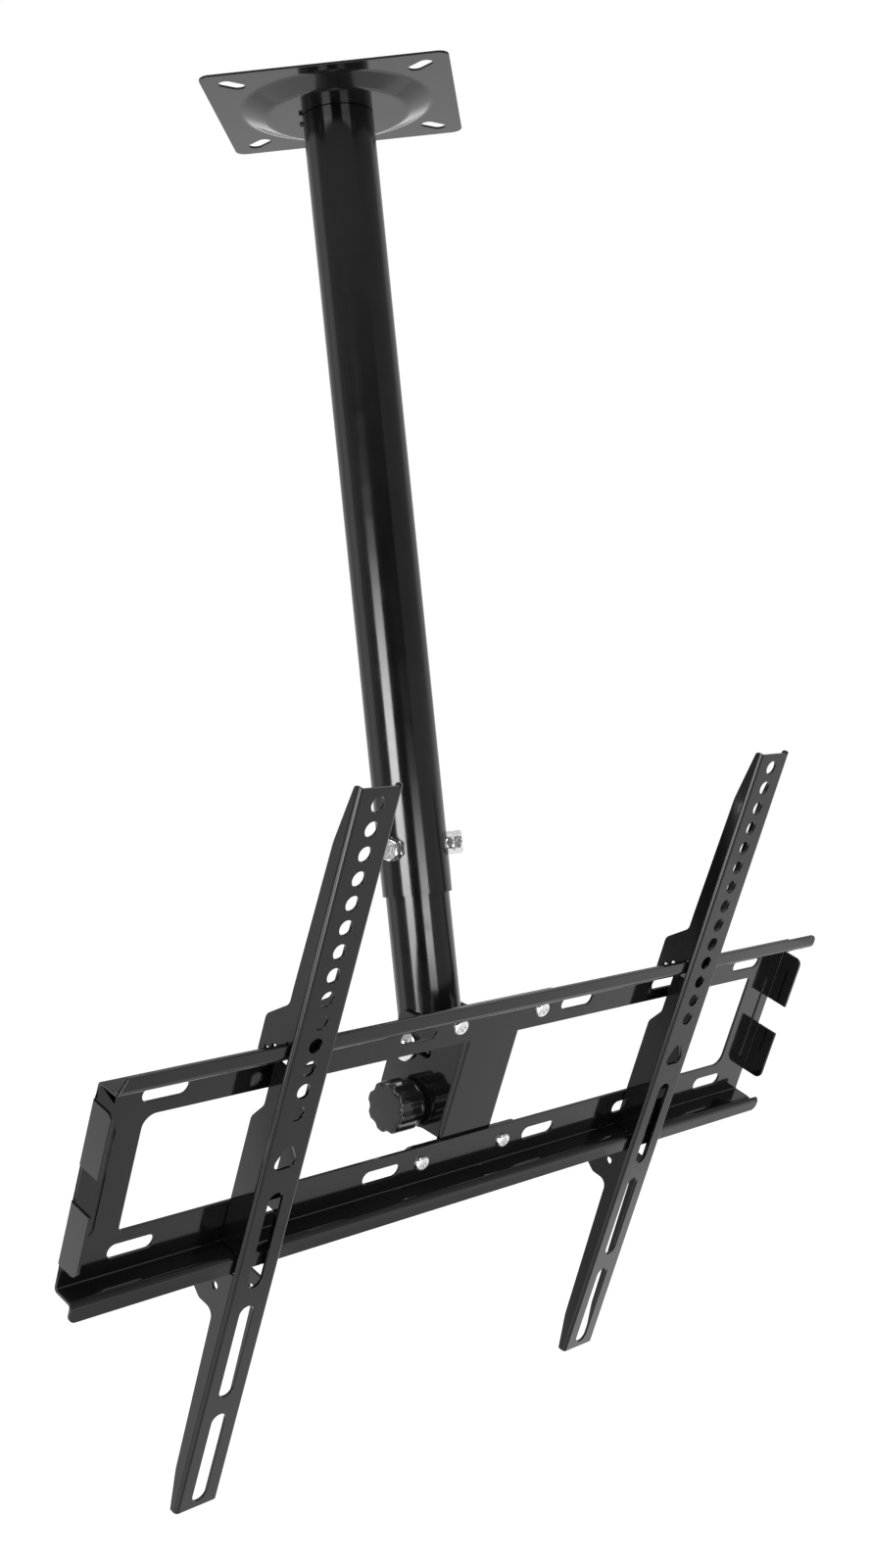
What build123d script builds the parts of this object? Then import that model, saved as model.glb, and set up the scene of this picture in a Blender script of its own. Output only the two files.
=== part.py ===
from build123d import *
import math
import os

os.makedirs("parts", exist_ok=True)

# Frame: origin at the middle of the ceiling plate's top face, +Z up, X along the rails, front to -Y.
# The head has its own frame, tilted with the panel: origin on the tilt axis, -Y to the screen.

# Rest pose, as pictured
SWIVEL = 48.8            # panel turned on the pole, seen from the plate
TILT = 28.6              # panel leaning forward at the top
PULL_OUT = 130.7         # from the outer pole's end to the tilt axis
LEFT_ARM_X = -177.3
RIGHT_ARM_X = 173.4

# Ceiling plate: pressed sheet with a round dish
PLATE_W = 152.0
PLATE_D = 139.0
PLATE_T = 1.5
PLATE_R = 7.0
DISH_BORDER = 9.0        # flat border on the narrow sides
DISH_SLOPE = 15.5
DISH_DEPTH = 6.0
DISH_BEND = 10.0
SLOT_IN_X = 18.2         # slot middles in from the plate's edges
SLOT_IN_Y = 17.0
SLOT_L = 18.0
SLOT_W = 9.0

# Swivel stub and set screws
SWIVEL_GAP = 0.35        # stub to pole bore
STUB_WALL = 4.6
STUB_LENGTH = 63.5
GROOVE_DROP = 3.6        # groove middle below the dish
GROOVE_W = 4.4
GROOVE_DEPTH = 1.6
SET_R = 1.5
SET_OUT = 2.0
SET_BEVEL = 0.3
SET_SOCKET_AF = 1.5
SET_SOCKET_DEPTH = 1.5
SET_TURNS = (136.2, 46.2)

# Outer pole and its clamp screws
POLE_R = 22.5
POLE_WALL = 1.5
POLE_LENGTH = 496.7
POLE_GAP = 0.4           # dish to pole
CLAMP_RISE = 30.6        # clamp screws above the pole's end
CLAMP_R = 4.0
CLAMP_AF = 13.0
CLAMP_NUT_T = 4.2
CLAMP_HEAD_T = 5.3
CLAMP_TURNS = (-43.8, 76.2, 196.2)

# Inner pole
SLIDE_GAP = 0.4          # inner pole to pole bore
INNER_WALL = 2.0
INNER_LENGTH = 492.3
INNER_TAIL = 16.0        # below the tilt axis

# Tilt bracket
BRACKET_T = 2.5
CHEEK_GAP = 0.9          # inner pole to each cheek
POLE_ROOM = 7.3          # inner pole to the bracket's web
CHEEK_REACH = 9.0        # cheeks behind the inner pole
CHEEK_FOLD_R = 3.2
CHEEK_SHOULDER = 15.0    # back corner above the tilt bolt
CHEEK_DROP = 16.2        # lower edge below the tilt axis
CHEEK_TOE_Y = 14.5
CHEEK_TOE_Z = 11.2
CHEEK_CORNER_R = 5.0
CHEEK_HEEL_R = 17.0
CHEEK_TOE_R = 8.0
FOLD_RELIEF = 1.5        # cheek folds to ears
EAR_H = 24.2
EAR_EDGE = 13.0          # ear ends beyond the frame bolts
EAR_R = 6.0
ARC_R = 37.0             # tilt bolt from the tilt axis
ARC_GAP = 0.3
ARC_SPARE = 0.6          # slot beyond each limit, in degrees
TILT_LOW = 0.0
TILT_HIGH = 30.0

# Tilt and pivot bolts, washers and nut
TILT_BOLT_R = 4.0
TILT_AF = 13.0
TILT_HEAD_T = 5.3
TILT_NUT_T = 6.5
WASHER_R = 10.5
WASHER_T = 2.0
WASHER_GAP = 0.3         # to the cheek that turns under it
PIVOT_R = 4.0
PIVOT_FIT = 0.08         # running fit of pins
PIVOT_WASHER_R = 9.0

# Tilt knob
KNOB_R = 16.8
KNOB_T = 20.7
KNOB_EDGE_R = 1.8
KNOB_LOBES = 8
KNOB_SCALLOP_R = 6.0
KNOB_SCALLOP_OUT = 3.7   # scallop middles beyond the rim
KNOB_BASE_R = 15.6
KNOB_BASE_T = 3.2
KNOB_GAP = 0.3
INSERT_R = 6.0
INSERT_DEPTH = 15.0
INSERT_END = 1.0

# Panel frame: one folded sheet, two rails and two end plates
SHEET = 2.0
MID_Z = 26.0             # middle between the rails, above the tilt axis
WINDOW_Z = 36.4          # half the window's height
RAIL_UP_H = 25.5         # upper and lower rail, from the window's edges
RAIL_DOWN_H = 27.5
LIP_OUT = 16.1           # lips in front of the rail faces
LIP_H = 11.7
BEND_IN = 1.0
LIP_BEND_IN = 3.0        # the lips' rounder folds
FACE_HALF = 301.6
END_W = 33.3             # end plates beside the window
TAB_OUT = 2.4            # folded tabs beyond the faces
LIP_PAST_LEFT = 0.8      # lips beyond the faces
LIP_PAST_RIGHT = 9.9
LIP_SLANT = 4.5
LIP_END_R = 5.0
WINDOW_R_WIDE = 8.0
WINDOW_R_TIGHT = 3.0
RAIL_SLOT_FIRST = 71.5
RAIL_SLOT_IN = 44.3      # last slot in from the faces' ends
RAIL_SLOT_N = 3
RAIL_SLOT_L = 30.5
RAIL_SLOT_W = 9.1
BOLT_SIDE = 13.0         # frame bolts beside the cheeks
BOLT_RISE = 12.8         # bolt and slot line from the window's edge
BOLT_R = 4.0
BOLT_HEAD_R = 5.5
BOLT_HEAD_T = 2.4
BOLT_NUT_AF = 13.0
BOLT_NUT_T = 6.5
BOLT_TAIL = 2.5
FASTENER_GAP = 0.2       # bolts in their plain holes
TAB_H = 39.0
TAB_UP = 14.5            # upper tabs above the middle
TAB_DOWN = 8.0           # lower tabs below it
TAB_R = 5.0
TAB_FOOT = 12.0
BEAD_IN = 13.0           # stiffening beads in from the faces' ends
BEAD_L = 70.0
BEAD_W = 8.4
BEAD_DEPTH = 0.9

# Arms: folded channels that hook over the rails
ARM_W = 31.4
ARM_T = 2.0
ARM_BEND = 2.6
WEB_GAP = 1.9            # lips to the webs
ARM_FIT = 0.35           # to the rail faces it slides on
ARM_ROOM = 0.8           # round the lips
ARM_UP = 227.6           # ends, from the middle between the rails
ARM_DOWN = 248.0
WEB_SHORT = 0.8          # webs stop below the flanges' tips
TIP_DEPTH = 4.9          # flange depths from the webs' fronts
TIP_R = 2.0
TAPER_DEPTH = 10.0
ARM_DEPTH = 12.0
SWELL_DEPTH = 9.6
END_DEPTH = 5.9
TIP_TAPER = 35.0
END_TAPER = 28.0
TAPER_R = 30.0
WING_TOP = 20.0          # deep flange between the rails, above the middle
WING_RAMP = 11.5
HOOK_SEAT = 8.4          # upper hook down behind the rail
HOOK_GAP = 0.5
HOOK_T = 4.9
HOOK_RISE = 6.6          # upper hook above the lip
HOOK_SLOPE = 14.0
HOOK_FADE = 11.0
FOOT_REACH = 12.9        # lower wing behind the rail
FOOT_DROP = 30.1         # lower wing below the lip
FOOT_CUT_Y = 9.5
FOOT_CUT_Z = 6.5
HOOK_R = 6.0
HOOK_ROOT_R = 3.0        # inside the lips' folds
INNER_WING = 18.5        # the right flanges' smaller depths: wing,
INNER_RAIL = 11.5        # beside the lower rail
INNER_LIP = 8.5          # and under its lip
INNER_STEP = 46.5        # wing's end below the middle
INNER_FOOT = 15.2        # foot's top below the lip
HOLE_IN = 10.3           # top hole below the arm's tip
HOLE_PITCH = 14.46
HOLE_N = 14
HOLE_R = 4.65
KEY_R = 4.2
KEY_SIDE = 3.6           # keyhole's lower rounds beside its middle
KEY_DOWN = 2.6           # and below the middle between the rails
KEY_RISE = 6.6           # upper round above them
ARM_SLOT_IN = 37.1       # lowest slot above the arm's end
ARM_SLOT_PITCH = 77.85
ARM_SLOT_N = 3
ARM_SLOT_L = 65.0
ARM_SLOT_W = 10.4
LOCK_R = 2.4
LOCK_BACK = 15.0         # lock holes behind the webs' fronts
LOCK_UP = 4.2            # above the upper rail
LOCK_DOWN = 15.6         # below the lower lip
LOCK_STEP = 10.4         # lower in the right flange

# Worked out, down the pole
DISH_RIM_R = PLATE_D / 2 - DISH_BORDER
DISH_LOW = -PLATE_T - DISH_DEPTH
POLE_TOP = DISH_LOW - POLE_GAP
POLE_END = POLE_TOP - POLE_LENGTH
POLE_BORE = POLE_R - POLE_WALL
GROOVE_Z = DISH_LOW - GROOVE_DROP
CLAMP_Z = POLE_END + CLAMP_RISE
STUB_R = POLE_BORE - SWIVEL_GAP
PIVOT_Z = POLE_END - PULL_OUT
TILT_BOLT_Z = PIVOT_Z + ARC_R
INNER_R = POLE_BORE - SLIDE_GAP

# Worked out, front to back through the head
CHEEK_IN = INNER_R + CHEEK_GAP
CHEEK_OUT = CHEEK_IN + BRACKET_T
CHEEK_BACK = INNER_R + CHEEK_REACH
BRACKET_BACK = -INNER_R - POLE_ROOM
FACE_BACK = BRACKET_BACK - BRACKET_T
FACE_Y = FACE_BACK - SHEET
LIP_Y = FACE_Y - LIP_OUT
LIP_BACK = LIP_Y + SHEET
WEB_BACK = LIP_Y - WEB_GAP
ARM_Y = WEB_BACK - ARM_T

# Worked out, up and across the panel
BEND_OUT = BEND_IN + SHEET
LIP_BEND_OUT = LIP_BEND_IN + SHEET
RAIL_UP = MID_Z + WINDOW_Z + RAIL_UP_H
RAIL_DOWN = MID_Z - WINDOW_Z - RAIL_DOWN_H
LIP_TOP = RAIL_UP + LIP_H
LIP_LOW = RAIL_DOWN - LIP_H
BOLT_UP = MID_Z + WINDOW_Z + BOLT_RISE
BOLT_DOWN = MID_Z - WINDOW_Z - BOLT_RISE
BOLT_X = CHEEK_OUT + BOLT_SIDE
EAR_HALF = BOLT_X + EAR_EDGE
TAB_HALF = FACE_HALF + TAB_OUT
LIP_LEFT = FACE_HALF + LIP_PAST_LEFT
LIP_RIGHT = FACE_HALF + LIP_PAST_RIGHT
ARM_TOP = MID_Z + ARM_UP
ARM_END = MID_Z - ARM_DOWN
KNOB_BACK = -CHEEK_OUT - WASHER_T - KNOB_GAP
KNOB_FRONT = KNOB_BACK - KNOB_T
INSERT_FLOOR = KNOB_BACK - INSERT_DEPTH + INSERT_END
BOLT_PLACES = [(sx * BOLT_X, z) for sx in (-1, 1) for z in (BOLT_UP, BOLT_DOWN)]


def polygon(points):
    """Flat face from corner points."""
    return make_face(Polyline(*points, close=True))


def soften(face, corners):
    """Round the listed corners of a flat face: (x, y, radius)."""
    for x, y, radius in corners:
        near = face.vertices().sort_by_distance((x, y, 0))[0]
        face = fillet(near, radius)
    return face


def upright(face, x_low, x_high):
    """A face drawn in (Y, Z), made solid from x_low to x_high."""
    plane = Plane((x_low, 0, 0), x_dir=(0, 1, 0), z_dir=(1, 0, 0))
    return extrude(plane * face, x_high - x_low)


def through(sketch, x, z, y_low, y_high):
    """A sketch seen from the front, made solid along Y."""
    plane = Plane((x, y_high, z), x_dir=(1, 0, 0), z_dir=(0, -1, 0))
    return extrude(plane * sketch, y_high - y_low)


def rod(radius, x_low, x_high, y=0.0, z=0.0):
    """Round bar along X."""
    return Pos((x_low + x_high) / 2, y, z) * Rot(0, 90, 0) * Cylinder(radius, x_high - x_low)


def hex_bar(flats, x_low, x_high, y=0.0, z=0.0):
    """Hexagon bar along X."""
    plane = Plane((x_low, y, z), x_dir=(0, 1, 0), z_dir=(1, 0, 0))
    return extrude(plane * RegularPolygon(flats / 2, 6, major_radius=False), x_high - x_low)


def tube(radius, wall, low, high):
    """Round tube along the pole."""
    tall = high - low
    return Pos(0, 0, low + tall / 2) * (Cylinder(radius, tall) - Cylinder(radius - wall, tall))


def up_slot(length, width):
    """Round-ended slot that runs up the panel."""
    return Rot(0, 0, 90) * SlotOverall(length, width)


def round_pole(part, turns):
    """The same piece at the given turns about the pole."""
    return [Rot(0, 0, turn) * part for turn in turns]


def on_head(part):
    """From the head's own frame to the pictured tilt."""
    return Pos(0, 0, PIVOT_Z) * Rot(TILT, 0, 0) * part


def ceiling_plate():
    blank = Pos(0, 0, -PLATE_T / 2) * Box(PLATE_W, PLATE_D, PLATE_T)
    blank = fillet(blank.edges().filter_by(Axis.Z), PLATE_R)
    seam = DISH_RIM_R + DISH_BORDER / 2
    flat = DISH_RIM_R - DISH_SLOPE
    section = polygon([
        (0, -DISH_DEPTH), (flat, -DISH_DEPTH), (DISH_RIM_R, 0), (seam, 0),
        (seam, -PLATE_T), (DISH_RIM_R, -PLATE_T), (flat, DISH_LOW), (0, DISH_LOW)])
    section = soften(section, [
        (flat, -DISH_DEPTH, DISH_BEND), (flat, DISH_LOW, DISH_BEND + PLATE_T),
        (DISH_RIM_R, 0, DISH_BEND + PLATE_T), (DISH_RIM_R, -PLATE_T, DISH_BEND)])
    plate = blank - Pos(0, 0, -PLATE_T / 2) * Cylinder(seam, PLATE_T)
    plate += revolve(Plane.XZ * section, Axis.Z)
    x, y = PLATE_W / 2 - SLOT_IN_X, PLATE_D / 2 - SLOT_IN_Y
    for sx in (-1, 1):
        for sy in (-1, 1):
            lean = math.degrees(math.atan2(sy * y, sx * x))
            slot = Pos(sx * x, sy * y, 0) * Rot(0, 0, lean) * SlotOverall(SLOT_L, SLOT_W)
            plate -= extrude(slot, -2 * PLATE_T)
    return Rot(0, 0, -SWIVEL) * plate


def swivel_stub():
    stub = tube(STUB_R, STUB_WALL, DISH_LOW - STUB_LENGTH, DISH_LOW)
    low = GROOVE_Z - GROOVE_W / 2
    return stub - tube(POLE_R, POLE_R - STUB_R + GROOVE_DEPTH, low, low + GROOVE_W)


def set_screw():
    tip = STUB_R - GROOVE_DEPTH + SWIVEL_GAP
    end = POLE_R + SET_OUT
    screw = rod(SET_R, tip, end, z=GROOVE_Z)
    screw = chamfer(screw.faces().sort_by(Axis.X)[-1].edges(), SET_BEVEL)
    return screw - hex_bar(SET_SOCKET_AF, end - SET_SOCKET_DEPTH, end, z=GROOVE_Z)


def outer_pole():
    pole = tube(POLE_R, POLE_WALL, POLE_END, POLE_TOP)
    for hole in round_pole(rod(SET_R, 0, 2 * POLE_R, z=GROOVE_Z), SET_TURNS):
        pole -= hole
    for hole in round_pole(rod(CLAMP_R, 0, 2 * POLE_R, z=CLAMP_Z), CLAMP_TURNS):
        pole -= hole
    return pole


def clamp_nut():
    nut = hex_bar(CLAMP_AF, POLE_BORE, POLE_R + CLAMP_NUT_T, z=CLAMP_Z)
    nut -= rod(CLAMP_R, 0, 2 * POLE_R, z=CLAMP_Z)
    return nut - Pos(0, 0, CLAMP_Z) * Cylinder(POLE_R, 2 * CLAMP_AF)


def clamp_screw():
    seat = POLE_R + CLAMP_NUT_T
    screw = rod(CLAMP_R, POLE_BORE, seat, z=CLAMP_Z)
    return screw + hex_bar(CLAMP_AF, seat, seat + CLAMP_HEAD_T, z=CLAMP_Z)


def inner_pole():
    low = PIVOT_Z - INNER_TAIL
    pole = tube(INNER_R, INNER_WALL, low, low + INNER_LENGTH)
    pole -= rod(PIVOT_R + PIVOT_FIT, -POLE_R, POLE_R, z=PIVOT_Z)
    return pole - rod(TILT_BOLT_R, -POLE_R, POLE_R, z=TILT_BOLT_Z)


def tilt_bolt():
    seat = CHEEK_OUT + WASHER_GAP + WASHER_T
    bolt = rod(TILT_BOLT_R, -seat, seat + TILT_NUT_T + BOLT_TAIL, z=TILT_BOLT_Z)
    return bolt + hex_bar(TILT_AF, -seat - TILT_HEAD_T, -seat, z=TILT_BOLT_Z)


def washer_pair(radius, bore, near, z):
    hole = rod(bore, -near - WASHER_T, near + WASHER_T, z=z)
    left = rod(radius, -near - WASHER_T, -near, z=z) - hole
    right = rod(radius, near, near + WASHER_T, z=z) - hole
    return [left, right]


def tilt_nut():
    seat = CHEEK_OUT + WASHER_GAP + WASHER_T
    nut = hex_bar(TILT_AF, seat, seat + TILT_NUT_T, z=TILT_BOLT_Z)
    return nut - rod(TILT_BOLT_R, 0, seat + TILT_NUT_T, z=TILT_BOLT_Z)


def arc_slot():
    """Curved slot that the tilt bolt runs in, drawn in (Y, Z)."""
    lean = [math.radians(a) for a in (TILT_LOW - ARC_SPARE, TILT_HIGH + ARC_SPARE)]
    lean.insert(1, sum(lean) / 2)
    path = ThreePointArc(*[(ARC_R * math.sin(a), ARC_R * math.cos(a)) for a in lean])
    return SlotArc(path, 2 * (TILT_BOLT_R + ARC_GAP))


def tilt_bracket():
    half = EAR_H / 2
    web = Pos(0, (BOLT_UP + BOLT_DOWN) / 2) * Rectangle(2 * CHEEK_OUT, BOLT_UP - BOLT_DOWN)
    for z in (BOLT_UP, BOLT_DOWN):
        web += Pos(0, z) * RectangleRounded(2 * EAR_HALF, EAR_H, EAR_R)
    bracket = through(web, 0, 0, FACE_BACK, BRACKET_BACK)
    top, low = BOLT_UP - half - FOLD_RELIEF, BOLT_DOWN + half + FOLD_RELIEF
    shoulder = ARC_R + CHEEK_SHOULDER
    cheek = polygon([
        (FACE_BACK, low), (FACE_BACK, top), (CHEEK_BACK, shoulder),
        (CHEEK_BACK, -CHEEK_DROP), (0, -CHEEK_DROP), (-CHEEK_TOE_Y, -CHEEK_TOE_Z)])
    cheek = soften(cheek, [
        (CHEEK_BACK, shoulder, CHEEK_CORNER_R), (CHEEK_BACK, -CHEEK_DROP, CHEEK_HEEL_R),
        (0, -CHEEK_DROP, CHEEK_TOE_R), (-CHEEK_TOE_Y, -CHEEK_TOE_Z, CHEEK_TOE_R)])
    bracket += upright(cheek, -CHEEK_OUT, -CHEEK_IN)
    bracket += upright(cheek, CHEEK_IN, CHEEK_OUT)
    front = bracket.edges().filter_by(Axis.Z).group_by(Axis.Y)[0]
    folds = [e for e in front if abs(abs(e.center().X) - CHEEK_OUT) < 0.01]
    bracket = fillet(folds, CHEEK_FOLD_R)
    bracket -= rod(PIVOT_R + FASTENER_GAP, -EAR_HALF, EAR_HALF)
    bracket -= upright(arc_slot(), -EAR_HALF, EAR_HALF)
    for x, z in BOLT_PLACES:
        bracket -= through(Circle(BOLT_R + FASTENER_GAP), x, z, FACE_BACK, BRACKET_BACK)
    return bracket


def pivot_bolt():
    seat = CHEEK_OUT + WASHER_T
    bolt = rod(PIVOT_R, INSERT_FLOOR + KNOB_GAP, seat)
    return bolt + hex_bar(TILT_AF, seat, seat + TILT_HEAD_T)


def tilt_knob():
    shoulder = KNOB_BACK - KNOB_BASE_T
    knob = rod(KNOB_R, KNOB_FRONT, shoulder)
    knob = fillet(knob.faces().sort_by(Axis.X)[0].edges(), KNOB_EDGE_R)
    reach = KNOB_R + KNOB_SCALLOP_OUT
    for turn in range(KNOB_LOBES):
        angle = 2 * math.pi / KNOB_LOBES * (turn + 0.5)
        y, z = reach * math.cos(angle), reach * math.sin(angle)
        knob -= rod(KNOB_SCALLOP_R, KNOB_FRONT, shoulder, y, z)
    knob += rod(KNOB_BASE_R, shoulder, KNOB_BACK)
    return knob - rod(INSERT_R, KNOB_BACK - INSERT_DEPTH, KNOB_BACK)


def knob_insert():
    insert = rod(INSERT_R, KNOB_BACK - INSERT_DEPTH, KNOB_BACK)
    return insert - rod(PIVOT_R + PIVOT_FIT, INSERT_FLOOR, KNOB_BACK)


def frame_section():
    """The sheet's fold, drawn in (Y, Z): lip, flange, rail face, flange, lip."""
    top_back, low_back = RAIL_UP + SHEET, RAIL_DOWN - SHEET
    section = polygon([
        (LIP_Y, LIP_TOP), (LIP_Y, RAIL_UP), (FACE_Y, RAIL_UP), (FACE_Y, RAIL_DOWN),
        (LIP_Y, RAIL_DOWN), (LIP_Y, LIP_LOW), (LIP_BACK, LIP_LOW), (LIP_BACK, low_back),
        (FACE_BACK, low_back), (FACE_BACK, top_back), (LIP_BACK, top_back), (LIP_BACK, LIP_TOP)])
    return soften(section, [
        (LIP_Y, RAIL_UP, LIP_BEND_OUT), (LIP_BACK, top_back, LIP_BEND_IN),
        (LIP_Y, RAIL_DOWN, LIP_BEND_OUT), (LIP_BACK, low_back, LIP_BEND_IN),
        (FACE_Y, RAIL_UP, BEND_IN), (FACE_BACK, top_back, BEND_OUT),
        (FACE_Y, RAIL_DOWN, BEND_IN), (FACE_BACK, low_back, BEND_OUT)])


def end_tab(sx, z_low, z_high, round_top):
    """Tab folded forward from an end plate, with its outer front corner rounded."""
    tall, mid = z_high - z_low, (z_low + z_high) / 2
    deep = FACE_BACK - LIP_Y
    tab = Pos(sx * (TAB_HALF - SHEET / 2), LIP_Y + deep / 2, mid) * Box(SHEET, deep, tall)
    corners = tab.edges().filter_by(Axis.X).group_by(Axis.Y)[0].sort_by(Axis.Z)
    tab = fillet(corners[-1] if round_top else corners[0], TAB_R)
    tab += Pos(sx * (TAB_HALF - TAB_FOOT / 2), FACE_BACK - SHEET / 2, mid) * Box(TAB_FOOT, SHEET, tall)
    outer = [e for e in tab.edges().filter_by(Axis.Z).group_by(Axis.Y)[-1]
             if abs(abs(e.center().X) - TAB_HALF) < 0.01]
    return fillet(outer, BEND_OUT)


def lip_slant():
    """Corner cut off the upper lip's left end."""
    wedge = polygon([(LIP_SLANT - LIP_LEFT, LIP_TOP), (-LIP_LEFT, RAIL_UP + SHEET), (-LIP_LEFT, LIP_TOP)])
    return through(wedge, 0, 0, LIP_Y, LIP_BACK)


def lip_round(x, z, sx, sz):
    """What a rounded lip corner leaves out, for the corner at (x, z) that points to (sx, sz)."""
    square = Pos(x - sx * LIP_END_R / 2, z - sz * LIP_END_R / 2) * Rectangle(LIP_END_R, LIP_END_R)
    square -= Pos(x - sx * LIP_END_R, z - sz * LIP_END_R) * Circle(LIP_END_R)
    return through(square, 0, 0, LIP_Y, LIP_BACK)


def window():
    half = FACE_HALF - END_W
    wide = [(-half, WINDOW_Z, WINDOW_R_WIDE), (half, -WINDOW_Z, WINDOW_R_WIDE)]
    tight = [(half, WINDOW_Z, WINDOW_R_TIGHT), (-half, -WINDOW_Z, WINDOW_R_TIGHT)]
    return soften(Rectangle(2 * half, 2 * WINDOW_Z).face(), wide + tight)


def panel_frame():
    frame = upright(frame_section(), -LIP_LEFT, LIP_RIGHT)
    deep, tall = FACE_BACK - LIP_BACK, LIP_TOP - LIP_LOW
    for sx, reach in ((-1, LIP_LEFT), (1, LIP_RIGHT)):
        past = reach - FACE_HALF
        frame -= Pos(sx * (FACE_HALF + past / 2), LIP_BACK + deep / 2, MID_Z) * Box(past, deep, tall)
        frame += end_tab(sx, MID_Z + TAB_UP, MID_Z + TAB_UP + TAB_H, True)
        frame += end_tab(sx, MID_Z - TAB_DOWN - TAB_H, MID_Z - TAB_DOWN, False)
        frame -= lip_round(sx * reach, LIP_LOW, sx, -1)
    frame -= lip_slant()
    frame -= lip_round(LIP_RIGHT, LIP_TOP, 1, 1)
    frame -= lip_round(LIP_RIGHT, RAIL_DOWN, 1, 1)
    frame -= through(window(), 0, MID_Z, FACE_Y, FACE_BACK)
    pitch = (FACE_HALF - RAIL_SLOT_IN - RAIL_SLOT_FIRST) / (RAIL_SLOT_N - 1)
    slots = [sx * (RAIL_SLOT_FIRST + pitch * k) for sx in (-1, 1) for k in range(RAIL_SLOT_N)]
    for z in (BOLT_UP, BOLT_DOWN):
        for x in slots:
            frame -= through(SlotOverall(RAIL_SLOT_L, RAIL_SLOT_W), x, z, FACE_Y, FACE_BACK)
    for x, z in BOLT_PLACES:
        frame -= through(Circle(BOLT_R + FASTENER_GAP), x, z, FACE_Y, FACE_BACK)
    for sx in (-1, 1):
        x = sx * (FACE_HALF - BEAD_IN)
        frame += through(up_slot(BEAD_L, BEAD_W), x, MID_Z, FACE_BACK, FACE_BACK + BEAD_DEPTH)
        groove = up_slot(BEAD_L - 2 * BEAD_DEPTH, BEAD_W - 2 * BEAD_DEPTH)
        frame -= through(groove, x, MID_Z, FACE_Y, FACE_Y + BEAD_DEPTH)
    return frame


def frame_bolt(x, z):
    tail = BRACKET_BACK + BOLT_NUT_T + BOLT_TAIL
    head = through(Circle(BOLT_HEAD_R), x, z, FACE_Y - BOLT_HEAD_T, FACE_Y)
    return through(Circle(BOLT_R), x, z, FACE_Y, tail) + head


def frame_nut(x, z):
    nut = RegularPolygon(BOLT_NUT_AF / 2, 6, major_radius=False) - Circle(BOLT_R)
    return through(nut, x, z, BRACKET_BACK, BRACKET_BACK + BOLT_NUT_T)


def arm_outline():
    """Side view of an arm, drawn in (Y, Z): web at the front, hooks for the rails at the back."""
    face = FACE_Y - ARM_FIT
    front, back = LIP_Y - WEB_GAP / 2, LIP_BACK + ARM_ROOM
    side = ARM_Y + ARM_DEPTH
    lip_top, lip_low = LIP_TOP + ARM_ROOM, LIP_LOW - ARM_ROOM
    under, seat = RAIL_DOWN - SHEET - ARM_ROOM, RAIL_UP + SHEET + ARM_FIT
    foot, foot_z = FACE_BACK + FOOT_REACH, lip_low - FOOT_DROP
    hook, hook_z = FACE_BACK + HOOK_GAP, RAIL_UP - HOOK_SEAT
    heel, heel_z = hook + HOOK_T, lip_top + HOOK_RISE
    fade_z = heel_z + HOOK_SLOPE
    wing_z = MID_Z + WING_TOP
    lower = [
        (ARM_Y, ARM_TOP), (ARM_Y, ARM_END), (ARM_Y + END_DEPTH, ARM_END),
        (ARM_Y + SWELL_DEPTH, ARM_END + END_TAPER), (side, foot_z), (foot - FOOT_CUT_Y, foot_z),
        (foot, foot_z + FOOT_CUT_Z), (foot, under), (back, under), (back, lip_low),
        (front, lip_low), (front, RAIL_DOWN + ARM_ROOM), (face, RAIL_DOWN + ARM_ROOM)]
    upper = [
        (face, wing_z), (side, wing_z + WING_RAMP), (side, RAIL_UP - ARM_ROOM),
        (front, RAIL_UP - ARM_ROOM), (front, lip_top), (back, lip_top), (back, seat), (hook, seat),
        (hook, hook_z), (heel, hook_z), (heel, heel_z), (side, fade_z), (side, fade_z + HOOK_FADE),
        (ARM_Y + TAPER_DEPTH, ARM_TOP - TIP_TAPER), (ARM_Y + TIP_DEPTH, ARM_TOP)]
    return soften(polygon(lower + upper), [
        (ARM_Y + SWELL_DEPTH, ARM_END + END_TAPER, TAPER_R), (side, foot_z, HOOK_R),
        (foot - FOOT_CUT_Y, foot_z, HOOK_R), (foot, foot_z + FOOT_CUT_Z, HOOK_R),
        (face, wing_z, HOOK_R), (side, wing_z + WING_RAMP, HOOK_R), (heel, heel_z, HOOK_R),
        (side, fade_z, HOOK_R), (ARM_Y + TAPER_DEPTH, ARM_TOP - TIP_TAPER, TAPER_R),
        (ARM_Y + TIP_DEPTH, ARM_TOP, TIP_R), (back, under, HOOK_ROOT_R), (back, seat, HOOK_ROOT_R)])


def keyhole():
    """Hole that hangs on a bolt head: wide below, narrow above."""
    rounds = [Pos(x, z) * Circle(KEY_R) for x, z in ((-KEY_SIDE, 0), (KEY_SIDE, 0), (0, KEY_RISE))]
    return make_hull([e for part in rounds for e in part.edges()])


def right_flange_cuts(x):
    """What the right flange lacks: (depth kept, lower end, upper end)."""
    step = MID_Z - INNER_STEP
    deep = FACE_BACK + FOOT_REACH - ARM_Y
    for kept, low, high in (
            (INNER_WING, step, MID_Z + WING_TOP + WING_RAMP), (INNER_RAIL, RAIL_DOWN, step),
            (INNER_LIP, LIP_LOW - INNER_FOOT, RAIL_DOWN)):
        gone = deep - kept
        yield Pos(x + (ARM_W - ARM_T) / 2, ARM_Y + deep - gone / 2, (low + high) / 2) * Box(ARM_T, gone, high - low)


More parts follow.
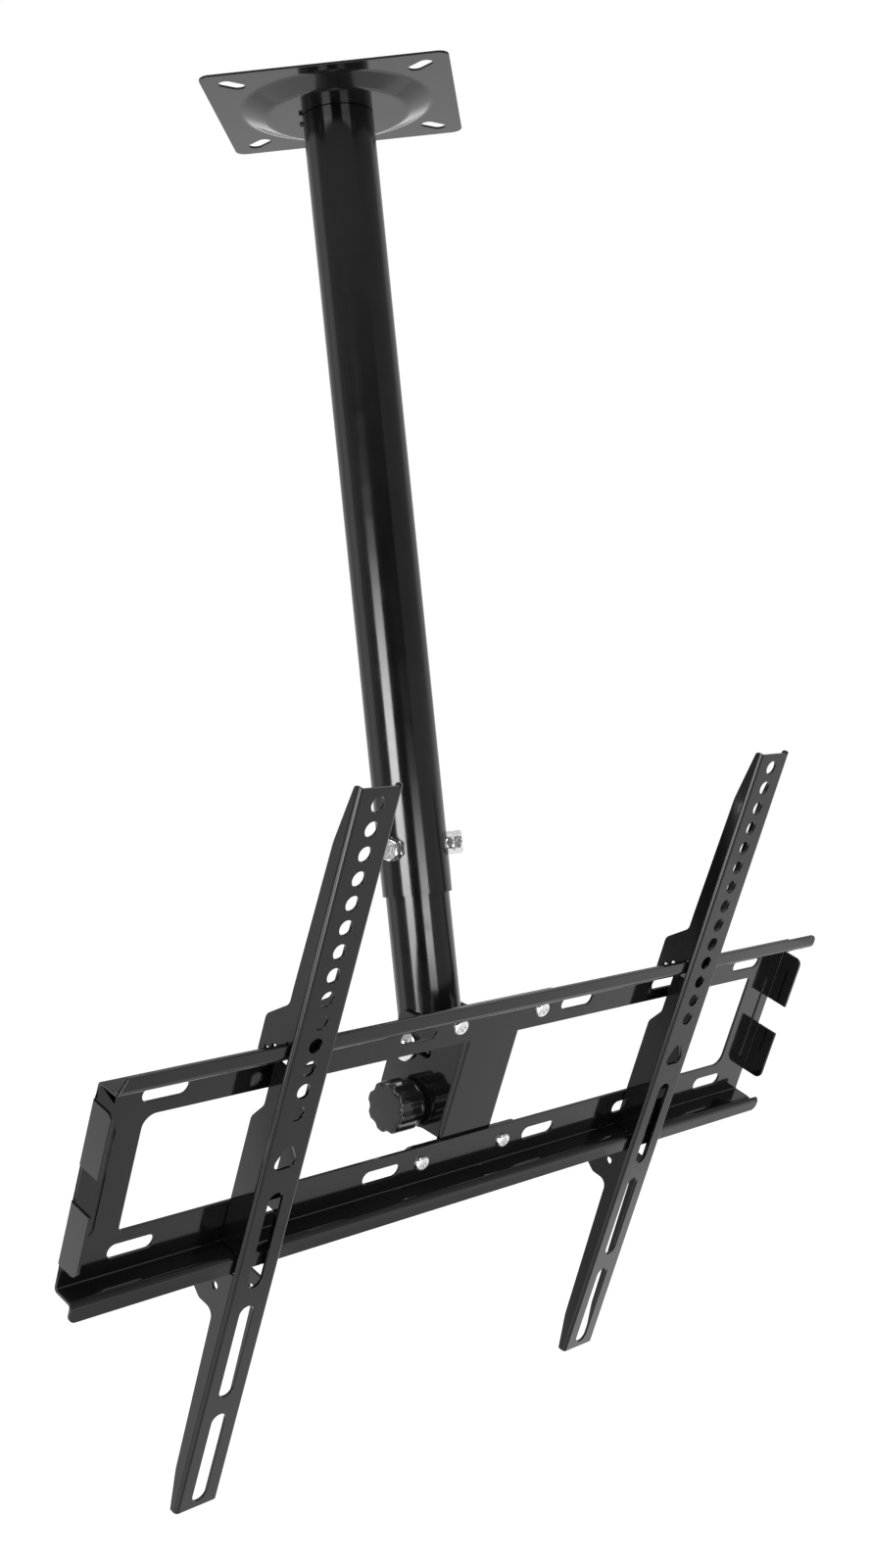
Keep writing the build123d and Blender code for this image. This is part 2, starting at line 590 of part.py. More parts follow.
def vesa_arm(x):
    arm = upright(arm_outline(), x - ARM_W / 2, x + ARM_W / 2)
    arm = fillet(arm.edges().filter_by(Axis.Z).group_by(Axis.Y)[0], ARM_BEND)
    inside = ARM_W - 2 * ARM_T
    deep, tall = FACE_BACK + FOOT_REACH - WEB_BACK, ARM_TOP - ARM_END
    arm -= Pos(x, WEB_BACK + deep / 2, ARM_END + tall / 2) * Box(inside, deep, tall)
    arm -= Pos(x, WEB_BACK - ARM_T / 2, ARM_TOP - WEB_SHORT / 2) * Box(inside, ARM_T, WEB_SHORT)
    for i in range(HOLE_N):
        arm -= through(Circle(HOLE_R), x, ARM_TOP - HOLE_IN - HOLE_PITCH * i, ARM_Y, WEB_BACK)
    arm -= through(keyhole(), x, MID_Z - KEY_DOWN, ARM_Y, WEB_BACK)
    for i in range(ARM_SLOT_N):
        z = ARM_END + ARM_SLOT_IN + ARM_SLOT_PITCH * i
        arm -= through(up_slot(ARM_SLOT_L, ARM_SLOT_W), x, z, ARM_Y, WEB_BACK)
    for cut in right_flange_cuts(x):
        arm -= cut
    lock_y, lock_z = ARM_Y + LOCK_BACK, LIP_LOW - LOCK_DOWN
    for z in (RAIL_UP + LOCK_UP, lock_z):
        arm -= rod(LOCK_R, x - ARM_W / 2, x, lock_y, z)
    return arm - rod(LOCK_R, x, x + ARM_W / 2, lock_y, lock_z - LOCK_STEP)


def save(name, *solids):
    """One file per node; a group keeps its solids apart."""
    shape = solids[0] if len(solids) == 1 else Compound(children=list(solids))
    shape.label = name
    export_step(shape, f"parts/{name}.step")


tilt_seat = CHEEK_OUT + WASHER_GAP
save("ceiling_plate", ceiling_plate())
save("swivel_stub", swivel_stub())
save("outer_pole", outer_pole())
save("set_screws", *round_pole(set_screw(), SET_TURNS))
save("clamp_screws", *round_pole(clamp_screw(), CLAMP_TURNS))
save("clamp_nuts", *round_pole(clamp_nut(), CLAMP_TURNS))
save("inner_pole", inner_pole())
save("tilt_bolt", tilt_bolt())
save("tilt_washers", *washer_pair(WASHER_R, TILT_BOLT_R, tilt_seat, TILT_BOLT_Z))
save("tilt_nut", tilt_nut())
save("tilt_bracket", on_head(tilt_bracket()))
save("pivot_bolt", on_head(pivot_bolt()))
save("pivot_washers", *map(on_head, washer_pair(PIVOT_WASHER_R, PIVOT_R + FASTENER_GAP, CHEEK_OUT, 0)))
save("tilt_knob", on_head(tilt_knob()))
save("knob_insert", on_head(knob_insert()))
save("panel_frame", on_head(panel_frame()))
save("frame_bolts", *[on_head(frame_bolt(x, z)) for x, z in BOLT_PLACES])
save("frame_nuts", *[on_head(frame_nut(x, z)) for x, z in BOLT_PLACES])
save("left_arm", on_head(vesa_arm(LEFT_ARM_X)))
save("right_arm", on_head(vesa_arm(RIGHT_ARM_X)))
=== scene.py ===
import math

import bmesh
import bpy
from mathutils import Matrix, Vector


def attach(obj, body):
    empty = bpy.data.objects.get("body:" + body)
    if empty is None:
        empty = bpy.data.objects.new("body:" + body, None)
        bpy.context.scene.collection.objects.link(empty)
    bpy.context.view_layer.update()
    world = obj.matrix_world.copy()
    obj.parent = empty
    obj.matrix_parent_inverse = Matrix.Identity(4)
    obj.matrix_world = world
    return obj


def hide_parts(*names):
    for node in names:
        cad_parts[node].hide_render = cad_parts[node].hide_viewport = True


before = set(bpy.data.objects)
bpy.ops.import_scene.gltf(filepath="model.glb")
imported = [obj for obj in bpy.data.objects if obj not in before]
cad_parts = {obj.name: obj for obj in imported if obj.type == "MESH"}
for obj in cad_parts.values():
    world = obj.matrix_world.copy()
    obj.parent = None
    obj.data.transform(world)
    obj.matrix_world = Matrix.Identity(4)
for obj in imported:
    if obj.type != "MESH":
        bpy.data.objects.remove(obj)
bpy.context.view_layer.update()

# Ceiling plate
# Steel sheet pressed into a round dish, with four diagonal slots, and coated in gloss black.
# Bolts through the slots hold it to the ceiling, and everything else hangs from the dish.


def shade(name):
    """A new material, its tree, its shader and its coordinates in metres."""
    finish = bpy.data.materials.new(name)
    finish.use_nodes = True
    tree = finish.node_tree
    place = tree.nodes.new("ShaderNodeTexCoord")
    return finish, tree, tree.nodes["Principled BSDF"], place.outputs["Object"]


def clouds(tree, place, per_metre, detail):
    """Noise with so many features in a metre."""
    noise = tree.nodes.new("ShaderNodeTexNoise")
    noise.inputs["Scale"].default_value = per_metre
    noise.inputs["Detail"].default_value = detail
    tree.links.new(place, noise.inputs["Vector"])
    return noise.outputs["Fac"]


def spread(tree, source, low, high, socket):
    """Noise stretched to a range of values and fed to a shader socket."""
    span = tree.nodes.new("ShaderNodeMapRange")
    limits = {"From Min": 0.3, "From Max": 0.7, "To Min": low, "To Max": high}
    for name, value in limits.items():
        span.inputs[name].default_value = value
    tree.links.new(source, span.inputs["Value"])
    tree.links.new(span.outputs["Result"], socket)


def tones(tree, source, dark, light, socket):
    """Noise turned into a drift between two colours."""
    ramp = tree.nodes.new("ShaderNodeValToRGB")
    for stop, position, colour in zip(ramp.color_ramp.elements, (0.35, 0.65), (dark, light)):
        stop.position = position
        stop.color = (*colour, 1)
    tree.links.new(source, ramp.inputs["Fac"])
    tree.links.new(ramp.outputs["Color"], socket)


def relief(tree, source, height, under=None):
    """Noise as a bump of that height in metres, on top of another bump if one is given."""
    bump = tree.nodes.new("ShaderNodeBump")
    bump.inputs["Strength"].default_value = 1.0
    bump.inputs["Distance"].default_value = height
    tree.links.new(source, bump.inputs["Height"])
    if under is not None:
        tree.links.new(under, bump.inputs["Normal"])
    return bump.outputs["Normal"]


def powder_coat(name, dark, light, roughness, peel, index=1.5):
    """Baked black powder: a drift of tone, uneven gloss, fine grain and orange peel."""
    finish, tree, shader, place = shade(name)
    shader.inputs["IOR"].default_value = index
    tone = clouds(tree, place, per_metre=35, detail=3)
    tones(tree, tone, dark, light, shader.inputs["Base Color"])
    gloss = clouds(tree, place, per_metre=90, detail=4)
    spread(tree, gloss, *roughness, shader.inputs["Roughness"])
    grain = relief(tree, clouds(tree, place, per_metre=1500, detail=1), peel / 4)
    surface = relief(tree, clouds(tree, place, per_metre=300, detail=2), peel, grain)
    tree.links.new(surface, shader.inputs["Normal"])
    return finish


def put(name, data):
    """A new object in the scene."""
    thing = bpy.data.objects.new(name, data)
    bpy.context.scene.collection.objects.link(thing)
    return thing


def as_made(stand):
    """The plain mesh that a stand's modifiers make of it. The stand itself goes."""
    ready = stand.evaluated_get(bpy.context.evaluated_depsgraph_get())
    mesh = bpy.data.meshes.new_from_object(ready)
    bpy.data.objects.remove(stand)
    return mesh


def smooth(mesh, crease):
    """Smooth shading that breaks where faces meet at more than that many degrees."""
    mesh.polygons.foreach_set("use_smooth", [True] * len(mesh.polygons))
    mesh.set_sharp_from_angle(angle=math.radians(crease))


def settle(name, mesh, body, slot, *nodes):
    """Put in a finished piece, fix it to its body and let it stand for the solids it dresses."""
    piece = put(name, mesh)
    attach(piece, body)
    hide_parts(*nodes)


WELD_GAP = 1e-6
FLAT_WITHIN = math.radians(0.4)
CUT_ANGLE = math.radians(40)
SHEET_CREASE = 50
FACE_WEIGHT = 100


def eased_sheet(node, body, slot, finish, ease):
    """A pressed or folded sheet, its cut edges broken by that width, as tumbling leaves them."""
    form = bmesh.new()
    form.from_mesh(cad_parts[node].data)
    bmesh.ops.remove_doubles(form, verts=form.verts, dist=WELD_GAP)
    bmesh.ops.dissolve_limit(
        form, angle_limit=FLAT_WITHIN, verts=form.verts, edges=form.edges)
    cut = [e for e in form.edges if e.is_manifold and e.calc_face_angle() > CUT_ANGLE]
    bmesh.ops.bevel(
        form, geom=cut, offset=ease, offset_type="OFFSET", segments=2, profile=0.5, affect="EDGES")
    rough = bpy.data.meshes.new(node + "_rough")
    form.to_mesh(rough)
    form.free()
    if "custom_normal" in rough.attributes:
        rough.attributes.remove(rough.attributes["custom_normal"])
    smooth(rough, SHEET_CREASE)
    rough.materials.clear()
    rough.materials.append(finish)
    stand = put(node + "_rough", rough)
    even = stand.modifiers.new("even", "WEIGHTED_NORMAL")
    even.weight = FACE_WEIGHT
    even.keep_sharp = True
    settle(node + "_eased", as_made(stand), body, slot, node)


PLATE_EASE = 0.0002
plate_coat = powder_coat(
    "plate_coat", dark=(0.009, 0.0085, 0.0086), light=(0.013, 0.0124, 0.0126),
    roughness=(0.08, 0.12), peel=0.000003)
eased_sheet("ceiling_plate", "ceiling", "plate_coat", plate_coat, PLATE_EASE)

# Swivel stub, outer pole, set screws and inner pole
# Drawn steel tube in gloss black. The stub is welded under the dish, the outer pole hangs and
# turns on it by its black set screws, and the inner pole slides up into the outer one.

pole_coat = powder_coat(
    "pole_coat", dark=(0.006, 0.006, 0.0062), light=(0.009, 0.009, 0.0093),
    roughness=(0.13, 0.18), peel=0.000003)
for node in ("swivel_stub", "outer_pole", "inner_pole"):
    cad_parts[node].material_slots[0].material = pole_coat

black_oxide = powder_coat(
    "black_oxide", dark=(0.010, 0.010, 0.0104), light=(0.015, 0.015, 0.0154),
    roughness=(0.45, 0.55), peel=0.000006, index=1.35)
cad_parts["set_screws"].material_slots[0].material = black_oxide

# Clamp screws and their lock nuts
# Zinc-plated hexagon screws through the outer pole's wall, each run through a thin lock nut.
# They press on the inner pole and hold the height.


def bare_metal(name, dark, light, roughness, scratch, per_metre):
    """Unpainted metal: a drift of tone, uneven gloss and fine relief, each at its own scale."""
    finish, tree, shader, place = shade(name)
    shader.inputs["Metallic"].default_value = 1.0
    tone, gloss, grain = (
        clouds(tree, place, scale, detail) for scale, detail in zip(per_metre, (3, 2, 1)))
    tones(tree, tone, dark, light, shader.inputs["Base Color"])
    spread(tree, gloss, *roughness, shader.inputs["Roughness"])
    tree.links.new(relief(tree, grain, scratch), shader.inputs["Normal"])
    return finish


bright_zinc = bare_metal(
    "bright_zinc", dark=(0.82, 0.82, 0.83), light=(0.92, 0.92, 0.92),
    roughness=(0.16, 0.24), scratch=0.000001, per_metre=(300, 400, 700))


def calc(tree, operation, *values):
    """A maths node on sockets and plain numbers."""
    node = tree.nodes.new("ShaderNodeMath")
    node.operation = operation
    for socket, value in zip(node.inputs, values):
        if isinstance(value, (int, float)):
            socket.default_value = value
        else:
            tree.links.new(value, socket)
    return node.outputs["Value"]


def part_tree(name, sizes):
    """A tree with a number input for each named size and one for the finish."""
    tree = bpy.data.node_groups.new(name, "GeometryNodeTree")
    tree.interface.new_socket("Geometry", in_out="INPUT", socket_type="NodeSocketGeometry")
    for size in sizes:
        tree.interface.new_socket(size, in_out="INPUT", socket_type="NodeSocketFloat")
    tree.interface.new_socket("Finish", in_out="INPUT", socket_type="NodeSocketMaterial")
    tree.interface.new_socket("Geometry", in_out="OUTPUT", socket_type="NodeSocketGeometry")
    return tree, tree.nodes.new("NodeGroupInput").outputs


def bar(tree, sides, rings, length):
    """A capped bar of radius 1 along Z, its middle at 0."""
    stock = tree.nodes.new("GeometryNodeMeshCylinder")
    stock.inputs["Vertices"].default_value = sides
    stock.inputs["Radius"].default_value = 1.0
    if isinstance(rings, int):
        stock.inputs["Side Segments"].default_value = rings
    else:
        tree.links.new(rings, stock.inputs["Side Segments"])
    tree.links.new(length, stock.inputs["Depth"])
    return stock.outputs["Mesh"]


def point_place(tree):
    """X, Y and Z of each point."""
    split = tree.nodes.new("ShaderNodeSeparateXYZ")
    place = tree.nodes.new("GeometryNodeInputPosition")
    tree.links.new(place.outputs["Position"], split.inputs["Vector"])
    return split.outputs


def point_turn(tree):
    """Angle of each point about Z."""
    place = point_place(tree)
    return calc(tree, "ARCTAN2", place["Y"], place["X"])


def risen(tree, length):
    """How far up a bar each point is, from 0 to 1."""
    return calc(tree, "ADD", calc(tree, "DIVIDE", point_place(tree)["Z"], length), 0.5)


def hung(tree, length):
    """Height of each point of a bar when its top is brought to 0."""
    return calc(tree, "SUBTRACT", point_place(tree)["Z"], calc(tree, "MULTIPLY", length, 0.5))


def wrapped(tree, geometry, radius, turn, height):
    """Move a mesh's points to that radius, angle about Z and height."""
    spot = tree.nodes.new("ShaderNodeCombineXYZ")
    for axis, wave in (("X", "COSINE"), ("Y", "SINE")):
        reach = calc(tree, "MULTIPLY", radius, calc(tree, wave, turn))
        tree.links.new(reach, spot.inputs[axis])
    tree.links.new(height, spot.inputs["Z"])
    move = tree.nodes.new("GeometryNodeSetPosition")
    tree.links.new(geometry, move.inputs["Geometry"])
    tree.links.new(spot.outputs["Vector"], move.inputs["Position"])
    return move.outputs["Geometry"]


def hexagon(tree, turn, flats, amount):
    """Radius of a hexagon at that angle, or of a circle where amount is 0."""
    step = calc(tree, "FLOORED_MODULO", turn, math.pi / 3)
    fold = calc(tree, "SUBTRACT", step, math.pi / 6)
    side = calc(tree, "COSINE", calc(tree, "MULTIPLY", fold, amount))
    return calc(tree, "DIVIDE", calc(tree, "MULTIPLY", flats, 0.5), side)


CHAMFER_START = 0.95


def chamfered(tree, radius, flats, drop):
    """That radius, cut by a 30 degree chamfer that starts just inside the flats."""
    circle = calc(tree, "MULTIPLY", flats, CHAMFER_START / 2)
    cone = calc(tree, "MULTIPLY_ADD", drop, math.sqrt(3), circle)
    return calc(tree, "MINIMUM", radius, cone)


def joined(tree, *parts):
    """Several meshes as one."""
    both = tree.nodes.new("GeometryNodeJoinGeometry")
    for part in parts:
        tree.links.new(part, both.inputs["Geometry"])
    return both.outputs["Geometry"]


def set_at_places(tree, given, part):
    """Stand a part on each given point, along its axis, as real mesh in the given finish."""
    turn = tree.nodes.new("FunctionNodeAxesToRotation")
    turn.primary_axis, turn.secondary_axis = "Z", "X"
    for name, socket in (("axis", "Primary Axis"), ("side", "Secondary Axis")):
        reading = tree.nodes.new("GeometryNodeInputNamedAttribute")
        reading.data_type = "FLOAT_VECTOR"
        reading.inputs["Name"].default_value = name
        tree.links.new(reading.outputs["Attribute"], turn.inputs[socket])
    copies = tree.nodes.new("GeometryNodeInstanceOnPoints")
    real = tree.nodes.new("GeometryNodeRealizeInstances")
    coat = tree.nodes.new("GeometryNodeSetMaterial")
    out = tree.nodes.new("NodeGroupOutput")
    tree.links.new(given["Geometry"], copies.inputs["Points"])
    tree.links.new(part, copies.inputs["Instance"])
    tree.links.new(turn.outputs["Rotation"], copies.inputs["Rotation"])
    tree.links.new(copies.outputs["Instances"], real.inputs["Geometry"])
    tree.links.new(real.outputs["Geometry"], coat.inputs["Geometry"])
    tree.links.new(given["Finish"], coat.inputs["Material"])
    tree.links.new(coat.outputs["Geometry"], out.inputs["Geometry"])


HEAD_SIDES = 72
HEAD_RINGS = 9
SHANK_SIDES = 32
RINGS_PER_TURN = 6.0
THREAD_DEPTH = 1.1
TIP_SHARE = 0.75

screw_tree, given = part_tree("hexagon_screw", ("Flats", "Head", "Thread", "Length", "Pitch"))
below = calc(screw_tree, "SUBTRACT", 1.0, risen(screw_tree, given["Head"]))
drop = calc(screw_tree, "MULTIPLY", calc(screw_tree, "POWER", below, 2.0), given["Head"])
girth = hexagon(screw_tree, point_turn(screw_tree), given["Flats"], 1.0)
girth = chamfered(screw_tree, girth, given["Flats"], drop)
crown = calc(screw_tree, "SUBTRACT", given["Head"], drop)
head = bar(screw_tree, HEAD_SIDES, HEAD_RINGS, given["Head"])
head = wrapped(screw_tree, head, girth, point_turn(screw_tree), crown)

rings = calc(screw_tree, "MULTIPLY", given["Length"], RINGS_PER_TURN)
rings = calc(screw_tree, "CEIL", calc(screw_tree, "DIVIDE", rings, given["Pitch"]))
level = hung(screw_tree, given["Length"])
lead = calc(screw_tree, "DIVIDE", point_turn(screw_tree), 2 * math.pi)
winding = calc(screw_tree, "ADD", calc(screw_tree, "DIVIDE", level, given["Pitch"]), lead)
groove = calc(screw_tree, "PINGPONG", winding, 0.5)
depth = calc(screw_tree, "MULTIPLY", given["Pitch"], THREAD_DEPTH)
core = calc(screw_tree, "SUBTRACT", given["Thread"], calc(screw_tree, "MULTIPLY", groove, depth))
tip = calc(screw_tree, "ADD", level, given["Length"])
taper = calc(screw_tree, "MULTIPLY_ADD", given["Thread"], TIP_SHARE, tip)
core = calc(screw_tree, "MINIMUM", core, taper)
shank = bar(screw_tree, SHANK_SIDES, rings, given["Length"])
shank = wrapped(screw_tree, shank, core, point_turn(screw_tree), level)
set_at_places(screw_tree, given, joined(screw_tree, head, shank))

RING_SIDES = 72
RING_STEPS = 8
RING_WELD = 0.000005

ring_tree, given = part_tree("nut_or_washer", ("Flats", "Height", "Bore", "Hexagon"))
sheet = ring_tree.nodes.new("GeometryNodeMeshGrid")
sheet.inputs["Size X"].default_value = 1.0
sheet.inputs["Size Y"].default_value = 1.0
sheet.inputs["Vertices X"].default_value = RING_SIDES + 1
sheet.inputs["Vertices Y"].default_value = 4 * RING_STEPS + 1
across = point_place(ring_tree)
turn = calc(ring_tree, "MULTIPLY", calc(ring_tree, "ADD", across["X"], 0.5), 2 * math.pi)
lap = calc(ring_tree, "MULTIPLY", calc(ring_tree, "ADD", across["Y"], 0.5), 4.0)
legs = []
for start in range(4):
    leg = ring_tree.nodes.new("ShaderNodeMapRange")
    leg.interpolation_type = "SMOOTHSTEP"
    leg.inputs["From Min"].default_value = start
    leg.inputs["From Max"].default_value = start + 1
    ring_tree.links.new(lap, leg.inputs["Value"])
    legs.append(leg.outputs["Result"])
outward, upward, inward, downward = legs
height = calc(ring_tree, "SUBTRACT", upward, downward)
height = calc(ring_tree, "MULTIPLY", height, given["Height"])
nearer = calc(ring_tree, "SUBTRACT", given["Height"], height)
nearer = calc(ring_tree, "MINIMUM", height, nearer)
rim = hexagon(ring_tree, turn, given["Flats"], given["Hexagon"])
rim = chamfered(ring_tree, rim, given["Flats"], nearer)
wall = calc(ring_tree, "SUBTRACT", rim, given["Bore"])
reach = calc(ring_tree, "SUBTRACT", outward, inward)
reach = calc(ring_tree, "MULTIPLY_ADD", reach, wall, given["Bore"])
ring = wrapped(ring_tree, sheet.outputs["Mesh"], reach, turn, height)
weld = ring_tree.nodes.new("GeometryNodeMergeByDistance")
weld.inputs["Distance"].default_value = RING_WELD
ring_tree.links.new(ring, weld.inputs["Geometry"])
set_at_places(ring_tree, given, weld.outputs["Geometry"])

FASTENER_CREASE = 25


def fasteners(node, body, tree, sizes, places):
    """Set one kind of fastener at its places: (point, axis, side)."""
    points, axes, sides = zip(*places)
    mesh = bpy.data.meshes.new(node + "_places")
    mesh.from_pydata(list(points), [], [])
    for name, ways in (("axis", axes), ("side", sides)):
        values = mesh.attributes.new(name, "FLOAT_VECTOR", "POINT")
        values.data.foreach_set("vector", [c for way in ways for c in way])
    stand = put(node + "_places", mesh)
    builder = stand.modifiers.new("builder", "NODES")
    builder.node_group = tree
    sizes = {**sizes, "Finish": bright_zinc}
    for socket in tree.interface.items_tree:
        if socket.in_out == "INPUT" and socket.name in sizes:
            builder[socket.identifier] = sizes[socket.name]
    made = as_made(stand)
    form = bmesh.new()
    form.from_mesh(made)
    bmesh.ops.recalc_face_normals(form, faces=form.faces)
    form.to_mesh(made)
    form.free()
    smooth(made, FASTENER_CREASE)
    made.name = node + "_made"
    settle(node + "_made", made, body, "zinc", node)


UPWARD = Vector((0, 0, 1))
CLAMP_Z = -0.4740
CLAMP_TURNS = (-43.8, 76.2, 196.2)
CLAMP_SEAT = 0.0267
CLAMP_NUT_START = 0.02125
M8_SCREW = {"Flats": 0.013, "Head": 0.0053, "Thread": 0.004, "Pitch": 0.00125}
M8_NUT = {"Flats": 0.013, "Height": 0.0065, "Bore": 0.004, "Hexagon": 1.0}


def round_pole(reach):
    """Places round the pole at that reach, pointing outwards."""
    turns = [math.radians(a) for a in CLAMP_TURNS]
    ways = [Vector((math.cos(a), math.sin(a), 0)) for a in turns]
    return [(reach * way + Vector((0, 0, CLAMP_Z)), way, UPWARD) for way in ways]


fasteners("clamp_screws", "pole", screw_tree, {**M8_SCREW, "Length": 0.0057},
          round_pole(CLAMP_SEAT))
fasteners("clamp_nuts", "pole", ring_tree, {**M8_NUT, "Height": CLAMP_SEAT - CLAMP_NUT_START},
          round_pole(CLAMP_NUT_START))

# Tilt bracket
# Folded steel in gloss black: a web bolted behind the panel frame and two cheeks that take the
# inner pole between them. The upper bolt runs in the cheeks' curved slots.

FOLDED_EASE = 0.0003
panel_coat = powder_coat(
    "panel_coat", dark=(0.008, 0.008, 0.0081), light=(0.012, 0.012, 0.0121),
    roughness=(0.06, 0.09), peel=0.000003)
eased_sheet("tilt_bracket", "head", "panel_coat", panel_coat, FOLDED_EASE)

# Tilt bolt, its washers and nut, and the pivot bolt with its washers
# Zinc-plated M8. The upper bolt goes through the inner pole and clamps the tilt. The lower one is
# the axle that the head turns on, with its end in the knob.

PIVOT_Z = -0.6353
TILT = math.radians(28.6)
LEFTWARD, RIGHTWARD = Vector((-1, 0, 0)), Vector((1, 0, 0))
TILT_BOLT = Vector((0, 0, -0.5983))
TILT_SEAT = 0.0263
TILT_WASHER_SEAT = 0.0243
PIVOT = Vector((0, 0, PIVOT_Z))
PIVOT_SEAT = 0.0260
CHEEK_OUT = 0.0240


def on_head(x, y, z):
    """A point of the head's own frame, at the pictured tilt."""
    back = y * math.cos(TILT) - z * math.sin(TILT)
    up = y * math.sin(TILT) + z * math.cos(TILT)
    return Vector((x, back, PIVOT_Z + up))


def both_sides(middle, reach, side):
    """Two places to the right and left of a middle, pointing outwards."""
    return [(way * reach + middle, way, side) for way in (RIGHTWARD, LEFTWARD)]


HEAD_BACK = on_head(0, 1, 0) - on_head(0, 0, 0)
HEAD_UP = on_head(0, 0, 1) - on_head(0, 0, 0)
tilt_right, tilt_left = both_sides(TILT_BOLT, TILT_SEAT, UPWARD)
pivot_right, _ = both_sides(PIVOT, PIVOT_SEAT, HEAD_UP)
fasteners("tilt_bolt", "drop_tube", screw_tree, {**M8_SCREW, "Length": 0.0616}, [tilt_left])
fasteners("tilt_washers", "drop_tube", ring_tree,
          {"Flats": 0.021, "Height": 0.002, "Bore": 0.004, "Hexagon": 0.0},
          both_sides(TILT_BOLT, TILT_WASHER_SEAT, UPWARD))
fasteners("tilt_nut", "drop_tube", ring_tree, M8_NUT, [tilt_right])
fasteners("pivot_bolt", "head", screw_tree, {**M8_SCREW, "Length": 0.066}, [pivot_right])
fasteners("pivot_washers", "head", ring_tree,
          {"Flats": 0.018, "Height": 0.002, "Bore": 0.0042, "Hexagon": 0.0},
          both_sides(PIVOT, CHEEK_OUT, HEAD_UP))

# Tilt knob and its insert
# Moulded black nylon with eight grips round a plain foot. A threaded brass insert in its back
# turns on the pivot bolt's end and pulls the cheeks together.

KNOB_BACK = 0.0263
KNOB_FRONT = 0.0470
KNOB_R = 0.0168
KNOB_EDGE = 0.0018
KNOB_STEPS = 192
KNOB_CREASE = 35
FACE_RINGS = (0.9, 0.5)
FOOT_R = 0.0156
FOOT_T = 0.0032
FOOT_EDGE = 0.0010
NECK_EDGE = FOOT_EDGE / 2
INSERT_R = 0.0060
WELL_DEPTH = 0.015
GRIPS = 8
SCALLOP_R = 0.0060
SCALLOP_OUT = 0.0212
SCALLOP_BLEND = 0.0012


def grip_radius(angle):
    """The lobed outline: a circle with round scallops, blended where they meet."""
    off = (angle * GRIPS / (2 * math.pi)) % 1 - 0.5
    off *= 2 * math.pi / GRIPS
    sine = SCALLOP_OUT * math.sin(off)
    if abs(sine) >= SCALLOP_R:
        return KNOB_R
    scallop = SCALLOP_OUT * math.cos(off) - math.sqrt(SCALLOP_R ** 2 - sine ** 2)
    mix = min(max(0.5 + (KNOB_R - scallop) / (2 * SCALLOP_BLEND), 0), 1)
    return KNOB_R * (1 - mix) + scallop * mix - SCALLOP_BLEND * mix * (1 - mix)


def quarter(edge, steps=5):
    """Steps round a rounded edge: how far in and how far on."""
    turns = [math.pi / 2 * k / steps for k in range(steps + 1)]
    return [(edge * (1 - math.cos(a)), edge * math.sin(a)) for a in turns]


turns = [2 * math.pi * k / KNOB_STEPS for k in range(KNOB_STEPS)]
outline = [grip_radius(a) for a in turns]
foot = [FOOT_R] * KNOB_STEPS
shoulder = KNOB_BACK + FOOT_T
rows = [(KNOB_BACK, [INSERT_R] * KNOB_STEPS)]
for inset, on in reversed(quarter(FOOT_EDGE)):
    rows.append((KNOB_BACK + FOOT_EDGE - on, [r - inset for r in foot]))
for inset, on in quarter(FOOT_EDGE):
    rows.append((shoulder - FOOT_EDGE + on, [r - inset for r in foot]))
for inset, on in reversed(quarter(NECK_EDGE)):
    rows.append((shoulder + NECK_EDGE - on, [r - inset for r in outline]))
for inset, on in quarter(KNOB_EDGE):
    rows.append((KNOB_FRONT - KNOB_EDGE + on, [r - inset for r in outline]))
for share in FACE_RINGS:
    rows.append((KNOB_FRONT, [(r - KNOB_EDGE) * share for r in outline]))

form = bmesh.new()
loops = []
for along, radii in rows:
    spots = [(r * math.cos(a), r * math.sin(a)) for r, a in zip(radii, turns)]
    loops.append([form.verts.new(on_head(-along, y, z)) for y, z in spots])
well = [form.verts.new(v.co + LEFTWARD * WELL_DEPTH) for v in loops[0]]
for low, high in [*zip(loops, loops[1:]), (loops[0], well)]:
    for k in range(KNOB_STEPS):
        form.faces.new((low[k], low[k - 1], high[k - 1], high[k]))
form.faces.new(loops[-1])
form.faces.new(well)
bmesh.ops.recalc_face_normals(form, faces=form.faces)
knob_mesh = bpy.data.meshes.new("tilt_knob_moulded")
form.to_mesh(knob_mesh)
form.free()
smooth(knob_mesh, KNOB_CREASE)
nylon = powder_coat(
    "moulded_nylon", dark=(0.012, 0.012, 0.0125), light=(0.017, 0.017, 0.0175),
    roughness=(0.09, 0.14), peel=0.000004)
knob_mesh.materials.append(nylon)
settle("tilt_knob_moulded", knob_mesh, "knob", "knob_plastic", "tilt_knob")

turned_brass = bare_metal(
    "turned_brass", dark=(0.62, 0.46, 0.2), light=(0.76, 0.58, 0.28),
    roughness=(0.22, 0.34), scratch=0.000003, per_metre=(250, 600, 1500))
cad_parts["knob_insert"].material_slots[0].material = turned_brass

# Panel frame
# One steel sheet, cut with slots and a wide window, folded into two rails with lips, and tabs at
# its ends. It is coated as the bracket is, and four bolts hold the two together.

eased_sheet("panel_frame", "head", "panel_coat", panel_coat, FOLDED_EASE)

# Frame bolts and nuts
# Zinc-plated M8 screws with low round heads and cross recesses, put in from the front through
# the rails and the bracket's ears, with hexagon nuts behind.

PAN_SIDES = 48
PAN_RINGS = 10
PAN_FULLNESS = 0.6
CROSS_WIDTH = 0.24

